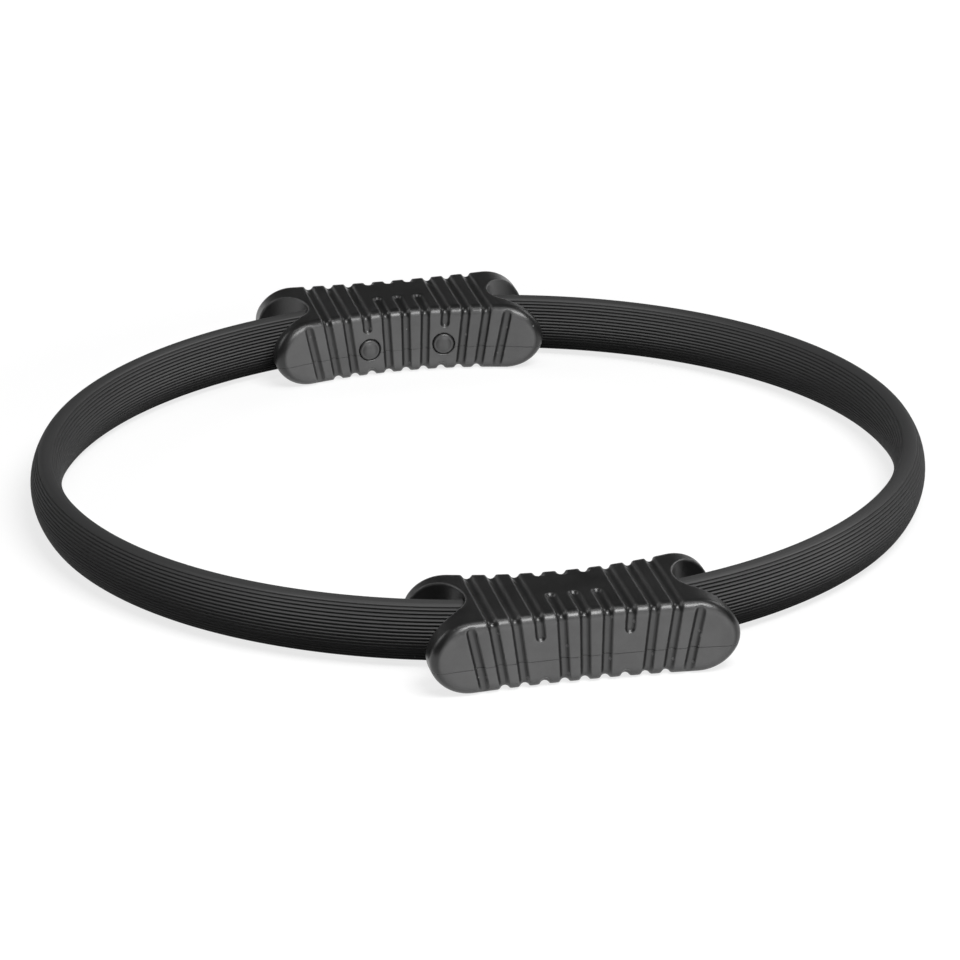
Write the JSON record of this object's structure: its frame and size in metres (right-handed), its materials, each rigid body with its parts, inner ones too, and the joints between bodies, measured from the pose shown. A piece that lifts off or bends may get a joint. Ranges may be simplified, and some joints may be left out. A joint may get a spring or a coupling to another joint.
{
  "type": "pilates ring",
  "caption": "Springy pilates ring: a ribbed rubber-sleeved hoop with padded grips on opposite sides, squeezed between hands or legs for resistance.",
  "frame": {"origin": "centre of the ring on its middle plane", "axes": "+Z along the axis of the ring, up when it lies flat; the front grip is at -Y and the rear grip at +Y"},
  "size_m": [0.356, 0.3944, 0.0284],
  "materials": {
    "grip_rubber": "satin moulded soft rubber",
    "sleeve_rubber": "matt extruded rubber with fine ribs",
    "plug_plastic": "matt moulded plastic",
    "ferrule_plastic": "matt moulded plastic",
    "hoop_fibreglass": "pultruded glass fibre strip",
    "screw_steel": "zinc plated",
    "insert_brass": "turned"
  },
  "bodies": {
    "front_grip": {"front_grip": "grip_rubber", "front_ferrule": "ferrule_plastic", "front_screws": "screw_steel", "front_inserts": "insert_brass", "front_plug_right": "plug_plastic", "front_plug_left": "plug_plastic", "hoop_front": "hoop_fibreglass", "right_sleeve_0": "sleeve_rubber", "left_sleeve_0": "sleeve_rubber"},
    "right_link_1": {"right_hoop_1": "hoop_fibreglass", "right_sleeve_1": "sleeve_rubber"},
    "right_link_2": {"right_hoop_2": "hoop_fibreglass", "right_sleeve_2": "sleeve_rubber"},
    "right_link_3": {"right_hoop_3": "hoop_fibreglass", "right_sleeve_3": "sleeve_rubber"},
    "right_link_4": {"right_hoop_4": "hoop_fibreglass", "right_sleeve_4": "sleeve_rubber"},
    "rear_grip": {"rear_grip": "grip_rubber", "rear_ferrule": "ferrule_plastic", "rear_screws": "screw_steel", "rear_inserts": "insert_brass", "rear_plug_right": "plug_plastic", "rear_plug_left": "plug_plastic", "right_hoop_end": "hoop_fibreglass", "right_sleeve_5": "sleeve_rubber"},
    "left_link_1": {"left_hoop_1": "hoop_fibreglass", "left_sleeve_1": "sleeve_rubber"},
    "left_link_2": {"left_hoop_2": "hoop_fibreglass", "left_sleeve_2": "sleeve_rubber"},
    "left_link_3": {"left_hoop_3": "hoop_fibreglass", "left_sleeve_3": "sleeve_rubber"},
    "left_link_4": {"left_hoop_4": "hoop_fibreglass", "left_sleeve_4": "sleeve_rubber"},
    "left_rear_end": {"left_hoop_end": "hoop_fibreglass", "left_sleeve_5": "sleeve_rubber"}
  },
  "joints": [
    {"name": "squeeze", "type": "hinge", "parent": "front_grip", "child": "right_link_1", "pos_m": [0.07531, -0.15441, 0], "axis": [0, 0, -1], "range_deg": [-5, 15], "stiffness_Nm_per_rad": 64},
    {"name": "right_bend_2", "type": "hinge", "parent": "right_link_1", "child": "right_link_2", "pos_m": [0.1557, -0.07261, 0], "axis": [0, 0, -1], "range_deg": [-7.5, 2.5]},
    {"name": "right_bend_3", "type": "hinge", "parent": "right_link_2", "child": "right_link_3", "pos_m": [0.1718, 0, 0], "axis": [0, 0, -1], "range_deg": [-15, 5]},
    {"name": "right_bend_4", "type": "hinge", "parent": "right_link_3", "child": "right_link_4", "pos_m": [0.1557, 0.07261, 0], "axis": [0, 0, -1], "range_deg": [-7.5, 2.5]},
    {"name": "right_bend_5", "type": "hinge", "parent": "right_link_4", "child": "rear_grip", "pos_m": [0.07531, 0.15441, 0], "axis": [0, 0, -1], "range_deg": [-5, 15]},
    {"name": "left_bend_1", "type": "hinge", "parent": "front_grip", "child": "left_link_1", "pos_m": [-0.07531, -0.15441, 0], "axis": [0, 0, 1], "range_deg": [-5, 15]},
    {"name": "left_bend_2", "type": "hinge", "parent": "left_link_1", "child": "left_link_2", "pos_m": [-0.1557, -0.07261, 0], "axis": [0, 0, 1], "range_deg": [-7.5, 2.5]},
    {"name": "left_bend_3", "type": "hinge", "parent": "left_link_2", "child": "left_link_3", "pos_m": [-0.1718, 0, 0], "axis": [0, 0, 1], "range_deg": [-15, 5]},
    {"name": "left_bend_4", "type": "hinge", "parent": "left_link_3", "child": "left_link_4", "pos_m": [-0.1557, 0.07261, 0], "axis": [0, 0, 1], "range_deg": [-7.5, 2.5]},
    {"name": "left_bend_5", "type": "hinge", "parent": "left_link_4", "child": "left_rear_end", "pos_m": [-0.07531, 0.15441, 0], "axis": [0, 0, 1], "range_deg": [-5, 15]}
  ],
  "couplings": [
    {"joint": "right_bend_2", "follows": "squeeze", "ratio": -0.5},
    {"joint": "right_bend_3", "follows": "squeeze", "ratio": -1},
    {"joint": "right_bend_4", "follows": "squeeze", "ratio": -0.5},
    {"joint": "right_bend_5", "follows": "squeeze", "ratio": 1},
    {"joint": "left_bend_1", "follows": "squeeze", "ratio": 1},
    {"joint": "left_bend_2", "follows": "squeeze", "ratio": -0.5},
    {"joint": "left_bend_3", "follows": "squeeze", "ratio": -1},
    {"joint": "left_bend_4", "follows": "squeeze", "ratio": -0.5},
    {"joint": "left_bend_5", "follows": "squeeze", "ratio": 1}
  ]
}
